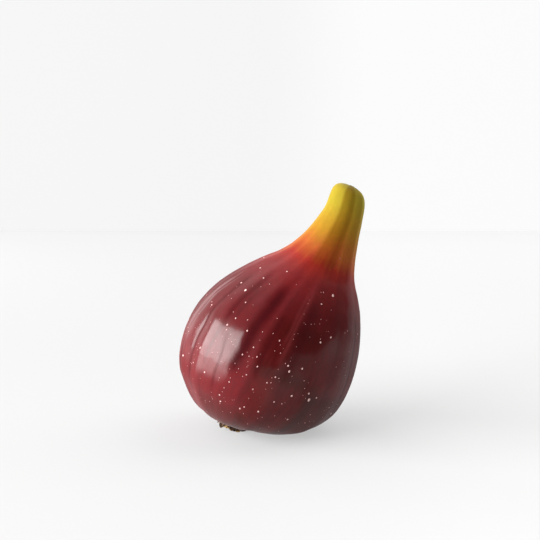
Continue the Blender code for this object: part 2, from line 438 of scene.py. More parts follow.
class Fruit:
    """The worked-out skin: a grid of points from the eye (row 0) to the tip, with what the materials read."""

    def __init__(self, shape, scar):
        radius, height = outline(shape, ROWS)
        part = (height + shape.eye_depth) / (shape.tip_height + shape.eye_depth)
        slope = unit(np.gradient(np.stack((radius, height), axis=1), axis=0))
        angle = np.arange(COLUMNS) * math.tau / COLUMNS
        r, h, a = radius[:, None], height[:, None], angle[None, :]
        # self.dark holds the painted shade of the grooves, self.pale the painted highlight of the ridges
        raised, self.dark, self.pale = relief(r, part[:, None], a, shape)
        # self.deep holds the sides painted darker: painted shade away from the window and near the foot, and
        # painted light where below 0
        self.deep = sides(DEEP_SIDES, DEEP_EDGE, a, part[:, None])
        self.ripe = sides(RIPE_SIDES, RIPE_EDGE, a, part[:, None])
        round_places = np.stack((r * np.cos(a), r * np.sin(a), h + 0.0 * a), axis=-1)
        fade = smooth_rise(r / (RELIEF_FADE * shape.eye_rim))
        uneven = sum(size * lumps(round_places, wavelength, seed) for size, wavelength, seed in UNEVENNESS)
        raised = raised + fade * uneven
        out = r + raised * slope[:, 1:2]
        ahead = out * np.cos(a)
        tuck, eye_tuck = below(h, *BASE_TUCK), below(h, *EYE_TUCK)
        bend = above(h, *NECK_BEND) - above(h, *TIP_HOOK)
        ahead = ahead - tuck * np.maximum(ahead, 0.0) - eye_tuck * np.minimum(ahead, 0.0) + bend
        drawn_up = base_lift(a) * smooth_rise(1.0 - (h + shape.eye_depth) / BASE_LIFT_DEPTH)
        own = np.stack((ahead, out * np.sin(a), h - raised * slope[:, 0:1] + drawn_up), axis=-1)
        own[0], own[-1] = own[0].mean(axis=0), own[-1].mean(axis=0)

        self.turned = np.array(Matrix.Rotation(shape.lean, 3, "Y"))
        placed = tilt_base(own) @ self.turned.T
        low, high = placed.min(axis=(0, 1)), placed.max(axis=(0, 1))
        shift = (FRUIT_LOW + FRUIT_HIGH - low - high) / 2.0
        shift[2] = FRUIT_HIGH[2] - high[2] + TIP_RISE * scar.cut
        self.shift = shift

        self.scar_way = unit(np.array((math.tan(scar.turned), math.tan(scar.tilt), 1.0))) @ self.turned.T
        ends = (placed + shift).reshape(-1, 3)
        self.scar_place = ends[np.argmax(ends @ self.scar_way)] - scar.cut * self.scar_way
        cut_back = flatten(placed + shift, self.scar_place, self.scar_way, CUT_SOFTNESS)
        near_tip = (part > CUT_FROM)[:, None, None]
        self.points = self.press(np.where(near_tip, cut_back, placed + shift))
        self.part, self.radius, self.height = part, radius, height
        self.near_eye = smooth_rise((EYE_EDGE * shape.eye_rim - radius) / EYE_FADE) * (height < 0.0)
        self.place = np.stack((np.cos(a) + 0.0 * h, np.sin(a) + 0.0 * h, h / shape.body + 0.0 * a), axis=-1)
        around = np.roll(self.points, -1, axis=1) - np.roll(self.points, 1, axis=1)
        self.normals = unit(np.cross(around, np.gradient(self.points, axis=0)))

    def press(self, points):
        """Flatten what reaches below the surface that the fruit rests on."""
        return flatten(points, FRUIT_LOW, np.array((0.0, 0.0, -1.0)), FOOT_SOFTNESS)

    def to_row(self, own):
        """Points of the fruit's own frame in the row's frame, pressed at the foot."""
        return self.press(tilt_base(own) @ self.turned.T + self.shift)

    def row_of(self, part):
        """Row of a share of the fruit's height, as a number with a fraction."""
        rim = int(np.argmin(self.height))
        return np.interp(part, self.part[rim:], np.arange(rim, ROWS))

    def sample(self, grid, row, angle):
        """Values of a grid at fractional rows and angles, blended from the four nearest points."""
        column = np.mod(angle, math.tau) / math.tau * COLUMNS
        row_low = np.clip(np.floor(row).astype(int), 0, ROWS - 2)
        column_low = np.floor(column).astype(int) % COLUMNS
        column_high = (column_low + 1) % COLUMNS
        s = (row - row_low)[:, None]
        t = (column - np.floor(column))[:, None]
        lower = grid[row_low, column_low] * (1 - t) + grid[row_low, column_high] * t
        upper = grid[row_low + 1, column_low] * (1 - t) + grid[row_low + 1, column_high] * t
        return lower * (1 - s) + upper * s


# Meshes


def closed_faces(rows, columns):
    """Faces of a closed surface whose end rows are single points: fans at both ends, quads between."""
    column = np.arange(columns)
    after = (column + 1) % columns
    row = np.arange(rows - 3)[:, None] * columns + 1
    quads = np.stack((row + column, row + after, row + columns + after, row + columns + column), axis=-1)
    last = 1 + (rows - 2) * columns
    top = last - columns
    low_fan = np.stack((0 * column, 1 + after, 1 + column), axis=-1)
    high_fan = np.stack((0 * column + last, top + column, top + after), axis=-1)
    return quads.reshape(-1, 4), np.concatenate((low_fan, high_fan))


def one_a_vertex(values):
    """Grid values of closed surfaces, one a vertex: the first and last row of each keep one value."""
    tail = values.shape[3:]
    inner = values[:, 1:-1].reshape((len(values), -1) + tail)
    kept = np.concatenate((values[:, 0, :1], inner, values[:, -1, :1]), axis=1)
    return kept.reshape((-1,) + tail)


def new_piece(name, grids, **attributes):
    """Mesh object at the origin from grids of points (surface, row, column), with values for its material."""
    surfaces, rows, columns = grids.shape[:3]
    per_surface = (rows - 2) * columns + 2
    start = (np.arange(surfaces) * per_surface)[:, None, None]
    faces = []
    for group in closed_faces(rows, columns):
        faces += (start + group).reshape(-1, group.shape[-1]).tolist()
    mesh = bpy.data.meshes.new(name)
    mesh.from_pydata(one_a_vertex(grids).tolist(), [], faces)
    for key, values in attributes.items():
        flat = one_a_vertex(values)
        kind = ("FLOAT", "value") if flat.ndim == 1 else ("FLOAT_VECTOR", "vector")
        attribute = mesh.attributes.new(key, kind[0], "POINT")
        attribute.data.foreach_set(kind[1], np.ascontiguousarray(flat, dtype=np.float32).ravel())
    mesh.update()
    mesh.shade_smooth()
    thing = bpy.data.objects.new(name, mesh)
    bpy.context.scene.collection.objects.link(thing)
    return thing


def skin_piece(fruit):
    """The whole skin as one closed surface."""
    part, near_eye = (np.repeat(each[:, None], COLUMNS, axis=1) for each in (fruit.part, fruit.near_eye))
    return new_piece(
        "skin",
        fruit.points[None],
        height_share=part[None],
        near_eye=near_eye[None],
        # Painted shade of the grooves
        dark_line=fruit.dark[None],
        # Painted highlight of the ridges
        pale_line=fruit.pale[None],
        # Sides with painted shade, and one with painted light
        deep_side=fruit.deep[None],
        ripe_side=fruit.ripe[None],
        place=fruit.place[None],
    )


# Pores that stand out on the side that faces the camera: angle round the axis in degrees, share of the
# fruit's height, and radius in millimetres
FRONT_PORES = (
    (-138.0, 0.507, 0.34), (-149.5, 0.519, 0.26), (-136.0, 0.572, 0.24), (-152.5, 0.592, 0.24),
    (-123.5, 0.628, 0.24), (-126.0, 0.565, 0.14), (-130.0, 0.543, 0.12), (-129.0, 0.473, 0.20),
    (-126.8, 0.410, 0.22), (-131.3, 0.424, 0.14), (-118.8, 0.426, 0.16), (-114.6, 0.393, 0.24),
    (-129.0, 0.376, 0.26), (-127.5, 0.360, 0.20), (-153.2, 0.399, 0.20), (-155.5, 0.407, 0.18),
    (-105.5, 0.352, 0.20), (-100.8, 0.327, 0.20), (-98.0, 0.296, 0.20), (-109.8, 0.311, 0.20),
    (-92.6, 0.412, 0.20), (-88.5, 0.374, 0.16), (-80.6, 0.342, 0.30), (-78.4, 0.325, 0.30),
    (-70.8, 0.350, 0.27), (-64.8, 0.457, 0.28), (-65.7, 0.468, 0.15), (-57.5, 0.484, 0.27),
    (-63.7, 0.619, 0.42), (-75.8, 0.618, 0.18), (-74.0, 0.580, 0.26), (-59.5, 0.270, 0.27),
    (-57.3, 0.247, 0.44), (-52.5, 0.262, 0.27), (-69.9, 0.242, 0.32), (-85.2, 0.288, 0.22),
    (-88.5, 0.257, 0.20), (-102.2, 0.251, 0.22), (-108.2, 0.258, 0.15), (-110.5, 0.197, 0.21),
    (-140.0, 0.249, 0.26), (-142.8, 0.183, 0.20), (-129.5, 0.181, 0.26), (-94.7, 0.212, 0.20),
    (-79.0, 0.199, 0.22), (-73.5, 0.201, 0.20), (-85.0, 0.140, 0.27), (-95.0, 0.133, 0.24),
    (-97.3, 0.118, 0.27), (-114.0, 0.133, 0.24), (-112.4, 0.109, 0.27), (-62.8, 0.147, 0.22),
)
PORE_SIDES = 10
FRONT_PORE_SIZE = 0.9
PLACE_SEED, FORM_SEED = 5, 6

# Half section of a pore from its underside to its middle, in its radii: distance from the middle, height,
# what being large adds to the height, how pale it is, and how much less pale a large one is
PORE_SECTION = (
    (0.00, -0.30, 0.00, 0.00, 0.00),
    (1.00, -0.12, 0.00, 0.00, 0.00),
    (0.93, 0.07, 0.00, 0.35, 0.00),
    (0.62, 0.17, 0.00, 1.00, 0.00),
    (0.00, 0.20, -0.17, 1.00, 0.75),
)
LARGE_FROM, LARGE_OVER = 0.30 * MM, 0.12 * MM
PORE_RAGGED, PORE_LONGER = (-0.14, 0.14), (1.0, 1.45)

# A pore is palest from a radius up, and less so below it, by a power and down to a least share
PALEST_FROM, PALE_POWER, PALE_LEAST = 0.33 * MM, 1.5, 0.15
PALE_SPREAD = (0.7, 1.0)

# Scattered pores thin out up the fruit between two shares of its height, with none above another or near
# the eye, and small ones are the most common. At the front they stay small. None lies at the foot
CROWDING_LOW, CROWDING_HIGH = 0.30, 0.70
THINNING, NO_PORES_FROM, CLEAR_ROWS = 0.97, 0.78, 9
SMALL_POWER, FRONT_LIMIT = 3.5, 1.4
FOOT_CLEARANCE = 0.8 * MM


def scattered_pores(fruit, pores):
    """Seeded rows, angles and radii: crowded low on the fruit, none on the upper neck, mostly small."""
    random = np.random.default_rng(PLACE_SEED)
    thinned = smooth_rise((fruit.part - CROWDING_LOW) / (CROWDING_HIGH - CROWDING_LOW))
    crowding = fruit.radius * (1.0 - THINNING * thinned)
    crowding[(fruit.part > NO_PORES_FROM) | (np.arange(ROWS) < fruit.row_of(0.0) + CLEAR_ROWS)] = 0.0
    rows = random.choice(ROWS, pores.number, p=crowding / crowding.sum())
    rows = rows + random.uniform(-0.5, 0.5, pores.number)
    angles = random.uniform(-math.pi, math.pi, pores.number)
    larger = random.uniform(0.0, 1.0, pores.number) ** SMALL_POWER
    sizes = pores.small + (pores.large - pores.small) * larger
    in_front = (angles > FRONT_FROM) & (angles < FRONT_TO)
    return rows, angles, np.where(in_front, np.minimum(sizes, FRONT_LIMIT * pores.small), sizes)


def pore_piece(fruit, pores):
    """Low round pores that stand a little proud of the skin, and dip in the middle where they are large.

    At share s from the underside to the middle and angle a, a pore's point is C + r(s) (cos a T + sin a B)
    + z(s) N, with T, B and N the ways along, across and out of the skin. A pore is longer along T.
    """
    random = np.random.default_rng(FORM_SEED)
    rows, angles, sizes = scattered_pores(fruit, pores)
    front_angles, front_parts, front_sizes = np.array(FRONT_PORES).T
    rows = np.concatenate((fruit.row_of(front_parts), rows))
    angles = np.concatenate((np.radians(front_angles), angles))
    sizes = np.concatenate((FRONT_PORE_SIZE * front_sizes * MM, sizes))
    centres = fruit.sample(fruit.points, rows, angles)
    clear = centres[:, 2] > FRUIT_LOW[2] + FOOT_CLEARANCE
    rows, angles, sizes, centres = rows[clear], angles[clear], sizes[clear], centres[clear]
    out = unit(fruit.sample(fruit.normals, rows, angles))
    up = unit(np.cross(np.cross(out, fruit.turned[:, 2]), out))
    across = np.cross(out, up)
    total = len(sizes)

    away, rise, dip, pale, less_pale = np.array(PORE_SECTION).T
    large = smooth_rise((sizes - LARGE_FROM) / LARGE_OVER)
    heights = sizes[:, None] * (rise + large[:, None] * dip)
    a = np.arange(PORE_SIDES) * math.tau / PORE_SIDES
    ragged = 1.0 + random.uniform(*PORE_RAGGED, (total, 1, PORE_SIDES))
    long_by = random.uniform(*PORE_LONGER, (total, 1, 1))
    spread = sizes[:, None, None] * away[None, :, None] * ragged
    along, side = spread * np.cos(a) * long_by, spread * np.sin(a)
    grids = (
        centres[:, None, None]
        + along[..., None] * up[:, None, None]
        + side[..., None] * across[:, None, None]
        + heights[..., None, None] * out[:, None, None]
    )
    strength = np.clip((sizes / PALEST_FROM) ** PALE_POWER, PALE_LEAST, 1.0)
    strength = strength[:, None] * random.uniform(*PALE_SPREAD, (total, 1))
    paleness = (pale - large[:, None] * less_pale) * strength
    return new_piece("pores", grids, paleness=np.repeat(paleness[..., None], PORE_SIDES, axis=2))


# Rings of scales that close the eye: distance of their roots from the axis in millimetres, how many, their
# length as a share of the outer ones', and the heading in degrees that they start with and curl by
SCALE_RINGS = (
    (5.1, 28, 1.00, 64.0, 36.0),
    (4.5, 22, 0.85, 52.0, 40.0),
    (3.5, 13, 0.85, 20.0, 40.0),
    (2.4, 9, 0.70, 30.0, 34.0),
    (1.2, 5, 0.50, 42.0, 28.0),
)
SCALE_ROWS = 9
SCALE_COLUMNS = 10
SCALE_SEED = 8

# Spreads that each scale's root, place round its ring, length, heading, curl and width are drawn from, and
# those of its frayed edge and its cup
ROOT_SPREAD, PLACE_SPREAD = (0.97, 1.03), (-0.06, 0.06)
LENGTH_SPREAD, HEADING_SPREAD, CURL_SPREAD = (0.75, 1.2), (-6.0, 6.0), (0.5, 1.6)
WIDTH_SPREAD, FRAY_SPREAD, CUP_SPREAD = (0.8, 1.15), (0.82, 1.12), (-0.1, 0.45)

# Scales are shorter than their full length, most on the side nearest to the foot. They are longer by a
# share of the base's lift there, and the short ones are less narrow than they are short
ROOM, ROOM_LOST = 0.78, 0.15
LIFT_FOLLOWED = 0.6
LEAST_WIDTH = 0.55
ROOT_SINK = 0.1 * MM

# A scale is narrower at its root, wide after a share of its length, and round at its tip by a power. It
# thins out towards its tip
ROOT_WIDTH, WIDE_AFTER, TIP_POWER = 0.72, 0.3, 2.6
TIP_THINNING = 0.6


def eye_piece(fruit, shape, eye):
    """Dry scales in rings round the eye, each a flat tube that narrows to its tip and curls off the fruit.

    At share u of a scale its middle line heads t = start + curl u, between inwards at 0 and out of the
    fruit at 90 degrees. So it lies at R - L (sin t - sin start) / curl from the axis and at
    L (cos start - cos t) / curl below its root. At angle v round the tube the point moves w(u) cos v
    across and k sin v + cup w cos^2 v through it.
    """
    random = np.random.default_rng(SCALE_SEED)
    ring = np.concatenate([np.full(number, k) for k, (_, number, _, _, _) in enumerate(SCALE_RINGS)])
    step = np.concatenate([np.arange(number) / number for _, number, _, _, _ in SCALE_RINGS])
    away, number, size, first_heading, full_curl = np.array(SCALE_RINGS)[ring].T
    total = len(ring)
    root = away * MM * random.uniform(*ROOT_SPREAD, total)
    azimuth = math.tau * (step + 0.5 * ring / number) + random.uniform(*PLACE_SPREAD, total)
    lift = base_lift(azimuth)
    room = ROOM - ROOM_LOST * np.cos(azimuth)
    long = eye.scale_length * size * room * random.uniform(*LENGTH_SPREAD, total) + LIFT_FOLLOWED * lift
    start = np.radians(first_heading + random.uniform(*HEADING_SPREAD, total))
    curl = np.radians(full_curl * random.uniform(*CURL_SPREAD, total))
    wide = eye.scale_width * (LEAST_WIDTH + (1.0 - LEAST_WIDTH) * size) * random.uniform(*WIDTH_SPREAD, total)

    u = np.linspace(0.0, 1.0, SCALE_ROWS)[None, :]
    heading = start[:, None] + curl[:, None] * u
    inwards = long[:, None] * (np.sin(heading) - np.sin(start)[:, None]) / curl[:, None]
    sunk = long[:, None] * (np.cos(start)[:, None] - np.cos(heading)) / curl[:, None]
    hollow = shape.eye_hollow * (1.0 - smooth_rise(root / shape.eye_rim))[:, None]
    distance = root[:, None] - inwards
    level = -shape.eye_depth + hollow - sunk + ROOT_SINK + lift[:, None]

    out_way = np.stack((np.cos(azimuth), np.sin(azimuth), 0.0 * azimuth), axis=-1)[:, None]
    across = np.stack((-np.sin(azimuth), np.cos(azimuth), 0.0 * azimuth), axis=-1)[:, None]
    axis = np.array((0.0, 0.0, 1.0))
    ahead = -np.cos(heading)[..., None] * out_way - np.sin(heading)[..., None] * axis
    through = np.cross(ahead, across)
    middle = distance[..., None] * out_way + level[..., None] * axis

    widening = ROOT_WIDTH + (1.0 - ROOT_WIDTH) * smooth_rise(u / WIDE_AFTER)
    narrowing = np.sqrt(np.clip(1.0 - u**TIP_POWER, 0.0, 1.0)) * widening
    half = wide[:, None] * narrowing * random.uniform(*FRAY_SPREAD, (total, SCALE_ROWS))
    v = np.arange(SCALE_COLUMNS) * math.tau / SCALE_COLUMNS
    thick = eye.thickness * (1.0 - TIP_THINNING * u)
    sideways = half[..., None] * np.cos(v)
    cup = random.uniform(*CUP_SPREAD, (total, 1, 1))
    deep = thick[..., None] * np.sin(v) + cup * half[..., None] * np.cos(v) ** 2
    own = (
        middle[:, :, None]
        + sideways[..., None] * across[:, :, None]
        + deep[..., None] * through[:, :, None]
    )
    own[:, 0], own[:, -1] = own[:, :1].mean(axis=2), own[:, -1:].mean(axis=2)
    along = np.broadcast_to(u[..., None], own.shape[:3])
    shade = np.broadcast_to(random.uniform(0.0, 1.0, total)[:, None, None], own.shape[:3])
    return new_piece("eye_scales", fruit.to_row(own), along=along, shade=shade)


# Half section of the stem scar: share of its radius and height in millimetres, from its hidden underside
# over the dried rim to the middle
SCAR_SECTION = (
    (0.00, -0.90), (0.90, -0.85), (1.00, -0.55), (1.03, -0.20), (1.00, 0.00), (0.93, 0.07), (0.84, 0.06),
    (0.74, 0.00), (0.60, -0.02), (0.42, 0.01), (0.28, 0.03), (0.16, 0.00), (0.00, -0.03),
)
SCAR_ROWS = 40
SCAR_COLUMNS = 72
SCAR_SEED = 9

# Waves of the scar's edge, each with its count round it and its size, and the counts of those that make its
# fibres. The fibres rise by a height, from a share of the section on, and fade out towards the middle
EDGE_WAVES = ((2, 0.04), (3, 0.03), (7, 0.015))
FIBRE_WAVES = (11, 17, 23, 31)
FIBRE_HEIGHT = 0.05 * MM
FIBRES_FROM, FIBRES_OVER, FIBRES_FULL_AT = 0.35, 0.15, 0.5


def scar_piece(fruit, scar):
    """Dried scar: its half section carried round the stem's axis, with fibres and an uneven edge.

    At share s of the section and angle a, the point is C + r(s) e(a) (cos a T + sin a B) + z(s, a) N. The
    edge e(a) and the fibres are sums of cosines of a.
    """
    random = np.random.default_rng(SCAR_SEED)
    away, rise = (values[:, None] for values in evenly(np.array(SCAR_SECTION), SCAR_ROWS))
    a = (np.arange(SCAR_COLUMNS) * math.tau / SCAR_COLUMNS)[None, :]
    edge = 1.0 + sum(size * np.cos(k * a + random.uniform(0, math.tau)) for k, size in EDGE_WAVES)
    fibres = sum(np.cos(k * a + random.uniform(0, math.tau)) for k in FIBRE_WAVES) / len(FIBRE_WAVES)
    shown = smooth_rise((np.arange(SCAR_ROWS)[:, None] / SCAR_ROWS - FIBRES_FROM) / FIBRES_OVER)
    rise = rise * MM + FIBRE_HEIGHT * fibres * shown * smooth_rise(away / FIBRES_FULL_AT)
    out = fruit.scar_way
    side = unit(np.cross(np.array((0.0, 1.0, 0.0)), out))
    across = np.cross(out, side)
    spread = (scar.radius * away * edge)[..., None]
    round_way = np.cos(a)[..., None] * side + np.sin(a)[..., None] * across
    grid = fruit.scar_place + spread * round_way + rise[..., None] * out
    return new_piece("stem_scar", grid[None], from_middle=np.repeat(away, SCAR_COLUMNS, axis=1)[None])


# Nodes

FLOAT, VECTOR = "NodeSocketFloat", "NodeSocketVector"
BLACK, WHITE = (0.0, 0.0, 0.0), (1.0, 1.0, 1.0)
NODE_STEP = 200.0


class Tree:
    """Short way to add and join nodes in one node tree, laid out from left to right."""

    def __init__(self, tree):
        self.tree = tree
        self.column = 0

    def feed(self, socket, value):
        if isinstance(value, bpy.types.NodeSocket):
            self.tree.links.new(value, socket)
        elif socket.type == "RGBA":
            socket.default_value = (*value[:3], 1.0)
        else:
            socket.default_value = value

    def add(self, kind, inputs=None, **settings):
        node = self.tree.nodes.new(kind)
        node.location = (NODE_STEP * self.column, 0.0)
        self.column += 1
        for key, value in settings.items():
            setattr(node, key, value)
        for key, value in (inputs or {}).items():
            self.feed(node.inputs[key], value)
        return node

    def maths(self, operation, first, second=0.0, clamp=False):
        inputs = {0: first, 1: second}
        return self.add("ShaderNodeMath", inputs, operation=operation, use_clamp=clamp).outputs[0]

    def times(self, first, second):
        return self.maths("MULTIPLY", first, second)

    def plus(self, first, second):
        return self.maths("ADD", first, second)

    def larger(self, first, second):
        return self.maths("MAXIMUM", first, second)

    def swing(self, value, size):
        """A value between 0 and 1 as a swing round 0, half the size either way."""
        return self.times(self.maths("SUBTRACT", value, 0.5), size)

    def mix(self, factor, first, second, blend="MIX"):
        inputs = {0: factor, 6: first, 7: second}
        return self.add("ShaderNodeMix", inputs, data_type="RGBA", blend_type=blend).outputs[2]

    def spread(self, value, low, high, to_low=0.0, to_high=1.0):
        inputs = {"Value": value, "From Min": low, "From Max": high, "To Min": to_low, "To Max": to_high}
        return self.add("ShaderNodeMapRange", inputs, interpolation_type="SMOOTHSTEP").outputs["Result"]

    def ramp(self, value, stops):
        node = self.add("ShaderNodeValToRGB", {"Fac": value})
        elements = node.color_ramp.elements
        while len(elements) < len(stops):
            elements.new(1.0)
        for element, (position, tint) in zip(elements, stops):
            element.position = position
            element.color = (*tint[:3], 1.0)
        return node.outputs["Color"]

    def read(self, name, output="Fac"):
        """What the mesh carries under a name."""
        return self.add("ShaderNodeAttribute", attribute_name=name).outputs[output]

    def object_place(self):
        return self.add("ShaderNodeTexCoord").outputs["Object"]

    def bump(self, height, strength, distance):
        inputs = {"Strength": strength, "Distance": distance, "Height": height}
        return self.add("ShaderNodeBump", inputs).outputs["Normal"]

    def group(self, name, **inputs):
        """Place a shared group with its own values, making the group at its first use."""
        if name not in bpy.data.node_groups:
            GROUP_MAKERS[name]()
        return self.add("ShaderNodeGroup", inputs, node_tree=bpy.data.node_groups[name]).outputs[0]


def new_group(name, inputs, output):
    """Node group with named inputs, each given as name: (kind, default), and one number as its output."""
    group = bpy.data.node_groups.new(name, "ShaderNodeTree")
    for socket_name, (kind, default) in inputs.items():
        socket = group.interface.new_socket(socket_name, in_out="INPUT", socket_type=kind)
        if default is not None:
            socket.default_value = default
    group.interface.new_socket(output, in_out="OUTPUT", socket_type=FLOAT)
    tree = Tree(group)
    return tree, tree.add("NodeGroupInput").outputs, tree.add("NodeGroupOutput").inputs[output]


def make_streaks():
    """Fine streaks that run along the fruit: noise on a place squeezed along the axis."""
    inputs = {"Place": (VECTOR, None), "Fineness": (FLOAT, 8.0), "Stretch": (FLOAT, 0.15)}
    tree, given, result = new_group("streaks", {**inputs, "Detail": (FLOAT, 4.0)}, "Streaks")
    parts = tree.add("ShaderNodeSeparateXYZ", {0: given["Place"]}).outputs
    squeezed = tree.times(parts["Z"], given["Stretch"])
    place = tree.add("ShaderNodeCombineXYZ", {0: parts["X"], 1: parts["Y"], 2: squeezed}).outputs[0]
    noise = {"Vector": place, "Scale": given["Fineness"], "Detail": given["Detail"]}
    tree.feed(result, tree.add("ShaderNodeTexNoise", noise).outputs["Fac"])


def make_mottle():
    """Cloudy unevenness at one size, between 0 and 1 round one half."""
    inputs = {"Place": (VECTOR, None), "Size": (FLOAT, 0.01), "Contrast": (FLOAT, 1.0)}
    tree, given, result = new_group("mottle", inputs, "Mottle")
    scale = tree.maths("DIVIDE", 1.0, given["Size"])
    noise = tree.add("ShaderNodeTexNoise", {"Vector": given["Place"], "Scale": scale, "Detail": 3.0})
    wider = tree.swing(noise.outputs["Fac"], given["Contrast"])
    tree.feed(result, tree.maths("ADD", wider, 0.5, clamp=True))


def make_specks():
    """Small round specks scattered at random: near the cell points of a Voronoi pattern, some left out."""
    inputs = {"Place": (VECTOR, None), "Spacing": (FLOAT, 0.002), "Radius": (FLOAT, 0.15)}
    tree, given, result = new_group("specks", {**inputs, "Amount": (FLOAT, 0.5)}, "Specks")
    scale = tree.maths("DIVIDE", 1.0, given["Spacing"])
    cells = tree.add("ShaderNodeTexVoronoi", {"Vector": given["Place"], "Scale": scale})
    near = tree.maths("DIVIDE", cells.outputs["Distance"], given["Radius"])
    soft = tree.maths("SUBTRACT", 1.0, near, clamp=True)
    chance = tree.add("ShaderNodeSeparateColor", {0: cells.outputs["Color"]})
    kept = tree.maths("LESS_THAN", chance.outputs[0], given["Amount"])
    tree.feed(result, tree.maths("MULTIPLY", tree.times(soft, kept), 2.0, clamp=True))


GROUP_MAKERS = {"streaks": make_streaks, "mottle": make_mottle, "specks": make_specks}


def new_material(name):
    """Material with a bare Principled shader, and its tree helper and shader."""
    material = bpy.data.materials.new(name)
    material.use_nodes = True
    return material, Tree(material.node_tree), material.node_tree.nodes["Principled BSDF"]


def set_shader(tree, shader, **sockets):
    """Link or set the shader's sockets, named with underscores for spaces."""
    for key, value in sockets.items():
        tree.feed(shader.inputs[key.replace("_", " ")], value)


# Materials

# Stops of the skin's colours: share of the fruit's height, and the setting that holds the colour. Their
# edges swing with the coarse streaks and the clouds
BANDS = (
    (0.00, "base"),
    (0.22, "base"),
    (0.36, "maroon"),
    (0.50, "maroon"),
    (0.60, "crimson"),
    (0.655, "red"),
    (0.71, "orange"),
    (0.78, "golden"),
    (0.90, "tip"),
)
BAND_STREAKS, BAND_CLOUDS = 0.05, 0.04

# Shares of the height between which the body's streaks and painted shade in the grooves fade out, and the
# skin turns matt
BODY_FADE, MATT_FADE = (0.66, 0.52), (0.62, 0.76)

# Noise between which the streaks turn dark, and the strength of streaks, of the painted shade in the grooves,
# of the painted highlight on the ridges, of grain and of specks
COARSE_DARK, FINE_DARK, GRAIN_SEEN = (0.50, 0.70), (0.50, 0.72), (0.35, 0.75)
COARSE_STRENGTH, FINE_STRENGTH, LINE_STRENGTH = 0.40, 0.22, 0.75
RIDGE_STRENGTH, GRAIN_STRENGTH, SPECK_STRENGTH = 0.45, 0.10, 0.25
GRAIN_TINT, SPECK_TINT = (1.0, 0.80, 0.70), (0.42, 0.22, 0.20)

# The skin is rougher or smoother with its grain, and rougher where it is matt. Fine streaks dull the wax
ROUGH_SEEN, ROUGH_LESS, ROUGH_MORE, MATT_ROUGH = (0.2, 0.8), 0.04, 0.06, 0.18
STREAK_DULL = 0.15

# The wax is thinner edge-on, between streaks, between clouds and in the painted shade of the grooves: the low
# and high end of what each reads, and the share of wax left at both
WAX_EDGE_ON = (0.40, 0.85, 1.0, 0.4)
WAX_STREAKS = (0.35, 0.65, 0.90, 1.0)
WAX_CLOUDS = (0.3, 0.7, 0.65, 1.0)
WAX_LINES = (0.0, 1.3, 1.0, 0.25)
GRAIN_HEIGHT = 0.6

# How far the grain of the pores, the scales and the scar shows, from low to high noise
PORE_GRAIN = (0.3, 0.8, 0.0, 0.25)
SCALE_GRAIN = (0.3, 0.8, 0.0, 0.5)
SCAR_GRAIN = (0.5, 0.9, 0.0, 0.6)
PIT_TINT = (0.07, 0.045, 0.02)

# A scale turns tan towards its tip, sooner or later by its blotches and its own shade
TAN_FROM_TO, BLOTCH_SWING, SHADE_SWING = (0.82, 1.30), 0.7, 0.6

# The scar's rim begins between two shares of its radius. It has rings of the rim's colour, one in each
# double spacing, and all are wavy
RIM_FROM_TO, SCAR_WAVY = (0.62, 0.88), 0.25
RING_SPACING, RING_FROM_TO, RING_STRENGTH = 0.16, (0.02, 0.12), 0.35


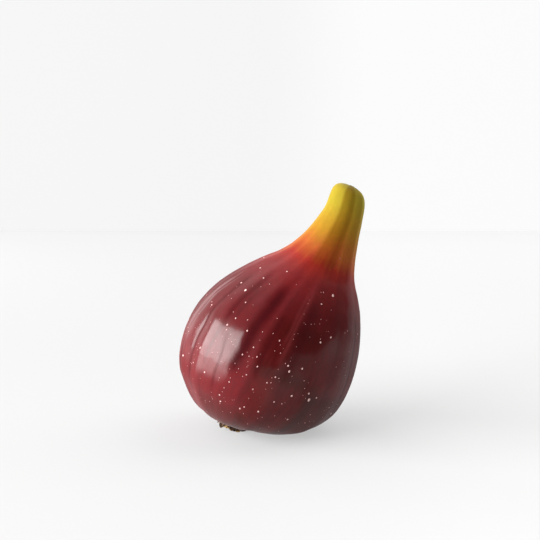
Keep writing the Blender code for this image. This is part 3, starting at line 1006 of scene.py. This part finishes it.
def skin_material(skin):
    """Waxy skin: bands of colour down the axis, streaks, painted shade in the grooves and painted highlight
    on the ridges, sides painted darker and one painted lighter, mottling and fine pores.
    """
    material, tree, shader = new_material("fig_skin_wax")
    place = tree.read("place", "Vector")
    reads = ("height_share", "dark_line", "pale_line", "deep_side", "ripe_side", "near_eye")
    part, dark_line, pale_line, deep_side, ripe_side, eye = (tree.read(name) for name in reads)
    here = tree.object_place()

    coarse = tree.group("streaks", Place=place, Fineness=9.0, Stretch=0.14, Detail=2.0)
    fine = tree.group("streaks", Place=place, Fineness=34.0, Stretch=0.05, Detail=5.0)
    cloud = tree.group("mottle", Place=here, Size=12.0 * MM, Contrast=1.6)
    grain = tree.group("mottle", Place=here, Size=1.2 * MM, Contrast=1.4)

    moved = tree.plus(tree.swing(coarse, BAND_STREAKS), tree.swing(cloud, BAND_CLOUDS))
    band_place = tree.maths("SUBTRACT", tree.plus(part, moved), ripe_side)
    bands = tree.ramp(band_place, [(stop, getattr(skin, tint)) for stop, tint in BANDS])

    body = tree.spread(part, *BODY_FADE)
    dark_streak = tree.times(tree.spread(coarse, *COARSE_DARK), COARSE_STRENGTH)
    fine_streak = tree.times(tree.spread(fine, *FINE_DARK), FINE_STRENGTH)
    # Darkest of the streaks and the painted shade in the grooves
    darkness = tree.larger(tree.larger(dark_streak, fine_streak), tree.times(dark_line, LINE_STRENGTH))
    # Sides painted darker: painted shade away from the window and near the foot, and painted light where the
    # strength is below 0
    left_over = [tree.maths("SUBTRACT", 1.0, tree.times(deep_side, loss)) for loss in DEEP_LOSS]
    kept_share = tree.add("ShaderNodeCombineXYZ", dict(enumerate(left_over))).outputs[0]
    deepened = tree.add("ShaderNodeVectorMath", {0: bands, 1: kept_share}, operation="MULTIPLY").outputs[0]
    darkened = tree.mix(tree.times(darkness, body), deepened, skin.groove)
    # Painted highlight along the ridges
    paled = tree.mix(tree.times(pale_line, RIDGE_STRENGTH), darkened, skin.ridge)
    grainy = tree.mix(tree.spread(grain, *GRAIN_SEEN, 0.0, GRAIN_STRENGTH), paled, GRAIN_TINT, "SOFT_LIGHT")
    faint = tree.group("specks", Place=here, Spacing=1.6 * MM, Radius=0.13, Amount=0.30)
    specked = tree.mix(tree.times(tree.times(faint, body), SPECK_STRENGTH), grainy, SPECK_TINT)

    matt = tree.spread(part, *MATT_FADE)
    rough = tree.spread(grain, *ROUGH_SEEN, skin.roughness - ROUGH_LESS, skin.roughness + ROUGH_MORE)
    dull = tree.larger(tree.times(fine_streak, STREAK_DULL), matt)
    edge_on = tree.add("ShaderNodeLayerWeight", {"Blend": 0.5}).outputs["Facing"]
    worn = tree.times(tree.spread(fine, *WAX_STREAKS), tree.spread(cloud, *WAX_CLOUDS))
    waxy = tree.spread(tree.larger(dull, eye), 1.0, 0.0, 0.0, skin.wax)
    for left in (tree.spread(edge_on, *WAX_EDGE_ON), worn, tree.spread(dark_line, *WAX_LINES)):
        waxy = tree.times(waxy, left)
    uneven = tree.plus(tree.times(grain, GRAIN_HEIGHT), fine)
    set_shader(
        tree,
        shader,
        Base_Color=tree.mix(eye, specked, skin.eye),
        Roughness=tree.plus(rough, tree.times(tree.larger(eye, matt), MATT_ROUGH)),
        IOR=1.4,
        Specular_IOR_Level=0.0,
        Sheen_Weight=skin.sheen,
        Sheen_Roughness=0.4,
        Coat_Weight=waxy,
        Coat_Roughness=skin.wax_roughness,
        Coat_IOR=1.65,
        Normal=tree.bump(uneven, strength=0.10, distance=0.6 * MM),
    )
    return material


def pore_material(pores):
    """Matt corky pores, pale in the middle and pink at the edge."""
    material, tree, shader = new_material("fig_pore_cork")
    grain = tree.group("mottle", Place=tree.object_place(), Size=0.3 * MM, Contrast=1.5)
    tone = tree.mix(tree.read("paleness"), pores.edge, pores.pale)
    grainy = tree.mix(tree.spread(grain, *PORE_GRAIN), tone, pores.edge)
    normal = tree.bump(grain, strength=0.3, distance=0.1 * MM)
    set_shader(tree, shader, Base_Color=grainy, Roughness=0.55, Specular_IOR_Level=0.3, Normal=normal)
    return material


def scale_material(eye):
    """Papery dry scales: dark brown roots, tan frayed tips, with fibres."""
    material, tree, shader = new_material("fig_dry_scale")
    here = tree.object_place()
    grain = tree.group("mottle", Place=here, Size=0.5 * MM, Contrast=2.2)
    blotch = tree.group("mottle", Place=here, Size=1.6 * MM, Contrast=2.0)
    worn = tree.plus(tree.read("along"), tree.swing(blotch, BLOTCH_SWING))
    lighter = tree.plus(worn, tree.swing(tree.read("shade"), SHADE_SWING))
    tone = tree.mix(tree.spread(lighter, *TAN_FROM_TO), eye.dark, eye.tan)
    grainy = tree.mix(tree.spread(grain, *SCALE_GRAIN), tone, eye.dark)
    normal = tree.bump(grain, strength=0.5, distance=0.2 * MM)
    set_shader(tree, shader, Base_Color=grainy, Roughness=0.75, Specular_IOR_Level=0.1, Normal=normal)
    return material


def scar_material(scar):
    """Dried cut: grey-brown rim, pale tan pith, brown rings and pits."""
    material, tree, shader = new_material("fig_stem_scar")
    here = tree.object_place()
    grain = tree.group("mottle", Place=here, Size=0.4 * MM, Contrast=2.0)
    blotch = tree.group("mottle", Place=here, Size=1.5 * MM, Contrast=1.6)
    wavy = tree.plus(tree.read("from_middle"), tree.swing(blotch, SCAR_WAVY))
    rings = tree.spread(tree.maths("PINGPONG", wavy, RING_SPACING), *RING_FROM_TO)
    tone = tree.mix(tree.spread(wavy, *RIM_FROM_TO), scar.pith, scar.rim)
    ringed = tree.mix(tree.times(rings, RING_STRENGTH), tone, scar.rim)
    grainy = tree.mix(tree.spread(grain, *SCAR_GRAIN), ringed, PIT_TINT)
    normal = tree.bump(grain, strength=0.5, distance=0.2 * MM)
    set_shader(tree, shader, Base_Color=grainy, Roughness=0.8, Normal=normal)
    return material


# Stage

IMAGE_SIDE = 540
SENSOR_WIDTH = 36.0
CLIP = (0.01, 20.0)
AIM_HEIGHT = 30.0 * MM
AIM_PIXEL = (271.5, 321.8)
BACKDROP_DISTANCE = 0.386
BACKDROP_LEFT = 0.20
BACKDROP_HEIGHT = 0.40
STAGE_REACH = 1.5
FLOOR_GAP = 0.02 * MM

# The window, as seen from the fruit: azimuth of its middle from the camera's side towards the left, half
# its width as an angle, and the elevations of its sill and top, in degrees
WINDOW_AZIMUTH = 71.0
WINDOW_HALF_WIDTH = 35.0
WINDOW_SILL = 3.0
WINDOW_TOP = 36.0
WINDOW_DISTANCE = 2.5

# The low cards: distances from the fruit and heights of their near and far edge, the height at which they
# are full, and for each its azimuth and half its width in degrees and its glow
CARD_NEAR, CARD_LOW = 0.06, 0.5 * MM
CARD_FAR, CARD_HIGH = 0.60, 46.0 * MM
CARD_FADE = 10.0 * MM
FLOOR_RADIANCE = 0.9
LOW_CARDS = (("low_card", 71.0, 28.0, 9.0), ("side_card", 123.0, 24.0, 2.2))

# Glow of the room: everywhere, on the left, and round the pale patches of wall, each with its azimuth and
# elevation in degrees, the cosines of the angles at which it starts and is full, and its strength
ROOM_GLOW = 0.22
LEFT_GLOW = 0.9
LEFT_FULL_AT = -0.5
PALE_PATCHES = (
    (142.0, 10.0, 0.86, 0.97, 3.8),
    (-125.0, 45.0, 0.78, 0.95, 2.4),
    (180.0, 40.0, 0.30, 0.80, 0.7),
)
SEEN_WHITE = 0.93

# The paper glows more to the right, between two places along X, and far away, from a place along Y. Its
# clouds are a little darker, and the wall is darker than the floor
RIGHT_FROM, RIGHT_TO, RIGHT_GLOW = -10.0 * MM, 60.0 * MM, 0.06
BACK_FROM, BACK_GLOW = 50.0 * MM, 0.10
PAPER_CLOUD, WALL_TINT = 0.985, 0.45


def put(thing, location, way, front):
    """Link a camera or light at a place, with its front or back axis along a way."""
    thing.matrix_world = Matrix.Translation(location) @ way.to_track_quat(front, "Y").to_matrix().to_4x4()
    bpy.context.scene.collection.objects.link(thing)
    return thing


def add_camera(stage):
    """Camera that looks level across the picture, from the set elevation, with the fruit at its own pixel."""
    focal = stage.lens / SENSOR_WIDTH * IMAGE_SIDE
    back = Vector((0.0, -math.cos(stage.elevation), math.sin(stage.elevation)))
    up = Vector((0.0, math.sin(stage.elevation), math.cos(stage.elevation)))
    right = Vector((1.0, 0.0, 0.0))
    middle = IMAGE_SIDE / 2.0
    ahead = -back + up * ((AIM_PIXEL[1] - middle) / focal) - right * ((AIM_PIXEL[0] - middle) / focal)
    data = bpy.data.cameras.new("camera")
    data.lens = stage.lens
    data.sensor_width = SENSOR_WIDTH
    data.clip_start, data.clip_end = CLIP
    location = Vector((0.0, 0.0, AIM_HEIGHT)) + back * stage.distance
    bpy.context.scene.camera = put(bpy.data.objects.new("camera", data), location, ahead, "-Z")


def paper_material(name, tint, glow):
    """Matt white paper, very faintly cloudy, that glows a little more to the right and far away.

    Seen from behind it is clear.
    """
    material, tree, shader = new_material(name)
    here = tree.object_place()
    parts = tree.add("ShaderNodeSeparateXYZ", {0: here}).outputs
    to_right = tree.spread(parts["X"], RIGHT_FROM, RIGHT_TO, glow, glow + RIGHT_GLOW)
    to_back = tree.spread(parts["Y"], BACK_FROM, BACKDROP_DISTANCE, 0.0, BACK_GLOW)
    glowing = tree.plus(to_right, to_back)
    cloud = tree.group("mottle", Place=here, Size=0.15, Contrast=0.5)
    tone = tree.mix(cloud, tuple(PAPER_CLOUD * part for part in tint), tint)
    behind = tree.add("ShaderNodeNewGeometry").outputs["Backfacing"]
    set_shader(
        tree,
        shader,
        Base_Color=tone,
        Roughness=0.9,
        Specular_IOR_Level=0.0,
        Emission_Color=tree.mix(glowing, BLACK, WHITE),
        Emission_Strength=1.0,
        Alpha=tree.maths("SUBTRACT", 1.0, behind),
    )
    return material


def add_sheet(name, corners, material):
    """Flat stage sheet from its four corners, counter-clockwise from the side that is seen."""
    mesh = bpy.data.meshes.new(name)
    mesh.from_pydata(corners, [], [(0, 1, 2, 3)])
    mesh.materials.append(material)
    sheet = bpy.data.objects.new(name, mesh)
    bpy.context.scene.collection.objects.link(sheet)
    return sheet


def add_low_card(name, azimuth, half_width, radiance):
    """Glow of the window in the table, which only gloss shows. It rises away from the fruit."""
    material = bpy.data.materials.new(name)
    material.use_nodes = True
    tree = Tree(material.node_tree)
    level = tree.add("ShaderNodeSeparateXYZ", {0: tree.object_place()}).outputs["Z"]
    fading = tree.spread(level, CARD_LOW, CARD_FADE, FLOOR_RADIANCE, radiance)
    glow = tree.add("ShaderNodeEmission", {"Color": WHITE, "Strength": fading})
    tree.feed(material.node_tree.nodes["Material Output"].inputs["Surface"], glow.outputs[0])
    corners = []
    for distance, height, sides in ((CARD_NEAR, CARD_LOW, (-1.0, 1.0)), (CARD_FAR, CARD_HIGH, (1.0, -1.0))):
        for side in sides:
            around = math.radians(azimuth + side * half_width)
            corners.append((-distance * math.sin(around), -distance * math.cos(around), height))
    card = add_sheet(name, corners, material)
    card.visible_camera = card.visible_diffuse = card.visible_shadow = False


def add_window(radiance):
    """Upright soft panel on the left, as wide and high as its angles say, of power pi x area x radiance."""
    azimuth, half = math.radians(WINDOW_AZIMUTH), math.radians(WINDOW_HALF_WIDTH)
    low = WINDOW_DISTANCE * math.tan(math.radians(WINDOW_SILL))
    high = WINDOW_DISTANCE * math.tan(math.radians(WINDOW_TOP))
    data = bpy.data.lights.new("window", "AREA")
    data.shape = "RECTANGLE"
    data.size = 2.0 * WINDOW_DISTANCE * math.tan(half)
    data.size_y = high - low
    data.energy = math.pi * data.size * data.size_y * radiance
    way = Vector((-math.sin(azimuth), -math.cos(azimuth), 0.0))
    location = way * WINDOW_DISTANCE + Vector((0.0, 0.0, (low + high) / 2.0))
    light = put(bpy.data.objects.new("window", data), location, way, "Z")
    light.visible_camera = False


def add_world():
    """Dim room, paler on the left and round the pale patches of wall. The camera sees it plain white."""
    world = bpy.data.worlds.new("room")
    world.use_nodes = True
    tree = Tree(world.node_tree)
    way = tree.add("ShaderNodeTexCoord").outputs["Generated"]
    leftness = tree.add("ShaderNodeSeparateXYZ", {0: way}).outputs["X"]
    glow = tree.spread(leftness, 0.0, LEFT_FULL_AT, ROOM_GLOW, ROOM_GLOW + LEFT_GLOW)
    for azimuth, elevation, start, full, strength in PALE_PATCHES:
        around, up = math.radians(azimuth), math.radians(elevation)
        patch = (-math.sin(around) * math.cos(up), -math.cos(around) * math.cos(up), math.sin(up))
        near = tree.add("ShaderNodeVectorMath", {0: way, 1: patch}, operation="DOT_PRODUCT").outputs["Value"]
        glow = tree.plus(glow, tree.spread(near, start, full, 0.0, strength))
    seen = tree.add("ShaderNodeLightPath").outputs["Is Camera Ray"]
    plain = tree.times(seen, SEEN_WHITE)
    hidden = tree.times(tree.maths("SUBTRACT", 1.0, seen), glow)
    background = world.node_tree.nodes["Background"]
    tree.feed(background.inputs["Color"], WHITE)
    tree.feed(background.inputs["Strength"], tree.plus(plain, hidden))
    bpy.context.scene.world = world


# Operators


def finish_piece(thing, material):
    """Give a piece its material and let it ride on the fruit's body."""
    thing.data.materials.append(material)
    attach(thing, "root")


class FIG_OT_skin(bpy.types.Operator):
    """Grow the fruit's skin"""

    bl_idname = "fig.skin"
    bl_label = "Skin"

    def execute(self, context):
        scene = context.scene
        skin = skin_piece(Fruit(scene.fig_shape, scene.fig_scar))
        finish_piece(skin, skin_material(scene.fig_skin))
        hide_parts(FRUIT_NODE)
        return {"FINISHED"}


class FIG_OT_pores(bpy.types.Operator):
    """Dot the skin with pale pores"""

    bl_idname = "fig.pores"
    bl_label = "Pores"

    def execute(self, context):
        scene = context.scene
        pores = pore_piece(Fruit(scene.fig_shape, scene.fig_scar), scene.fig_pores)
        finish_piece(pores, pore_material(scene.fig_pores))
        return {"FINISHED"}


class FIG_OT_eye(bpy.types.Operator):
    """Close the eye with dry scales"""

    bl_idname = "fig.eye"
    bl_label = "Eye scales"

    def execute(self, context):
        scene = context.scene
        scales = eye_piece(Fruit(scene.fig_shape, scene.fig_scar), scene.fig_shape, scene.fig_eye)
        finish_piece(scales, scale_material(scene.fig_eye))
        return {"FINISHED"}


class FIG_OT_scar(bpy.types.Operator):
    """Put the dried scar on the stem end"""

    bl_idname = "fig.scar"
    bl_label = "Stem scar"

    def execute(self, context):
        scene = context.scene
        scar = scar_piece(Fruit(scene.fig_shape, scene.fig_scar), scene.fig_scar)
        finish_piece(scar, scar_material(scene.fig_scar))
        return {"FINISHED"}


class FIG_OT_stage(bpy.types.Operator):
    """Set up the floor, the backdrop, the light and the camera"""

    bl_idname = "fig.stage"
    bl_label = "Stage"

    def execute(self, context):
        stage = context.scene.fig_stage
        floor_z = FRUIT_LOW[2] - FLOOR_GAP
        far, near, high = BACKDROP_DISTANCE, -STAGE_REACH, BACKDROP_HEIGHT
        left, right, edge = -STAGE_REACH, STAGE_REACH, -BACKDROP_LEFT
        floor_plan = ((left, near), (right, near), (right, far), (left, far))
        wall_plan = ((edge, floor_z), (right, floor_z), (right, high), (edge, high))
        floor_corners = [(x, y, floor_z) for x, y in floor_plan]
        wall_corners = [(x, far, z) for x, z in wall_plan]
        add_sheet("floor", floor_corners, paper_material("floor_paper", stage.floor, stage.floor_glow))
        wall_tint = tuple(WALL_TINT * part for part in stage.floor)
        add_sheet("backdrop", wall_corners, paper_material("wall_paper", wall_tint, stage.wall_glow))
        add_window(stage.window)
        for card in LOW_CARDS:
            add_low_card(*card)
        add_world()
        add_camera(stage)
        context.scene.view_settings.view_transform = "Standard"
        return {"FINISHED"}


class FIG_PT_panel(bpy.types.Panel):
    """Sidebar panel with a button for each piece"""

    bl_idname = "FIG_PT_panel"
    bl_label = "Fresh fig"
    bl_space_type = "VIEW_3D"
    bl_region_type = "UI"
    bl_category = "Fig"

    def draw(self, context):
        for operator in OPERATORS:
            self.layout.operator(operator.bl_idname)


SETTINGS = {
    "fig_shape": FigShape,
    "fig_skin": FigSkin,
    "fig_pores": FigPores,
    "fig_eye": FigEye,
    "fig_scar": FigScar,
    "fig_stage": FigStage,
}
OPERATORS = (FIG_OT_skin, FIG_OT_pores, FIG_OT_eye, FIG_OT_scar, FIG_OT_stage)
CLASSES = (*SETTINGS.values(), *OPERATORS, FIG_PT_panel)


def register():
    for kind in CLASSES:
        bpy.utils.register_class(kind)
    for name, kind in SETTINGS.items():
        setattr(bpy.types.Scene, name, PointerProperty(type=kind))


def unregister():
    for name in SETTINGS:
        delattr(bpy.types.Scene, name)
    for kind in reversed(CLASSES):
        bpy.utils.unregister_class(kind)


def main():
    register()
    bpy.ops.fig.skin()
    bpy.ops.fig.pores()
    bpy.ops.fig.eye()
    bpy.ops.fig.scar()
    bpy.ops.fig.stage()


if __name__ == "__main__":
    main()
